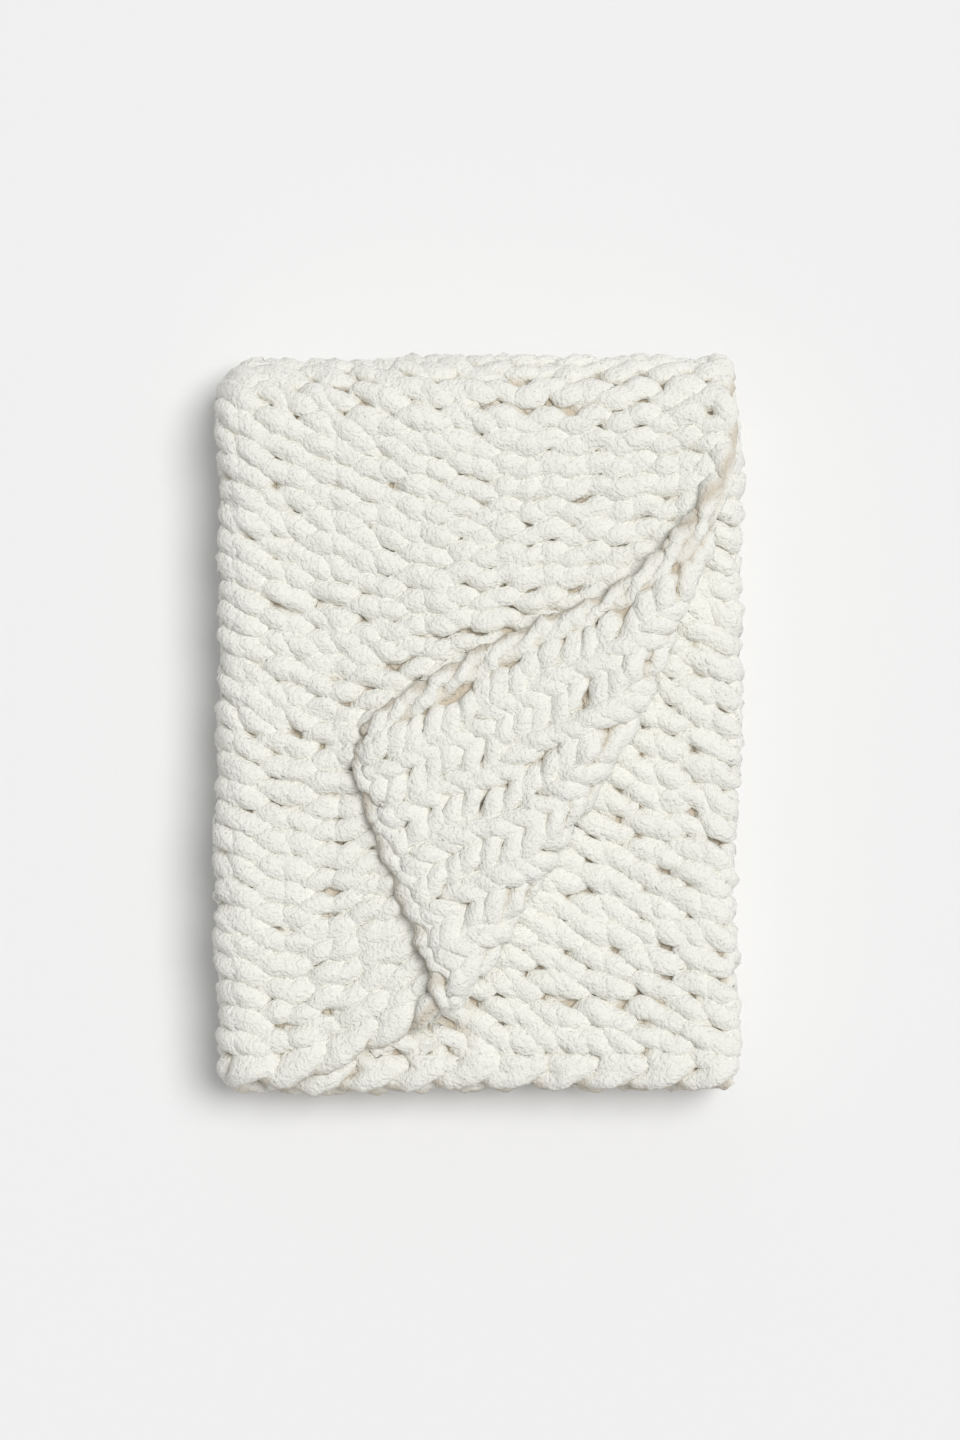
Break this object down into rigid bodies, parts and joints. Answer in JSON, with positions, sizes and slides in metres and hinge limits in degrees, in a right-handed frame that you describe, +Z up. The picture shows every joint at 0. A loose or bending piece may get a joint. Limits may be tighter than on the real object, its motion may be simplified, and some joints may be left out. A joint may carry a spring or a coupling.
{
  "type": "chunky knit blanket",
  "caption": "Chunky knit blanket of soft off-white chenille yarn, folded in thirds and in half, with one corner turned back.",
  "frame": {"origin": "centre of the folded blanket's footprint, on the surface it rests on", "axes": "+Z up through the stack of layers, +Y along the packet towards the half fold, +X towards the side where the corner is turned back"},
  "size_m": [0.4684, 0.6468, 0.1393],
  "materials": {
    "chenille_yarn": "soft matte off-white chenille pile, hand-knitted in thick loops"
  },
  "bodies": {
    "root": {"knit_blanket": "chenille_yarn"}
  },
  "joints": []
}
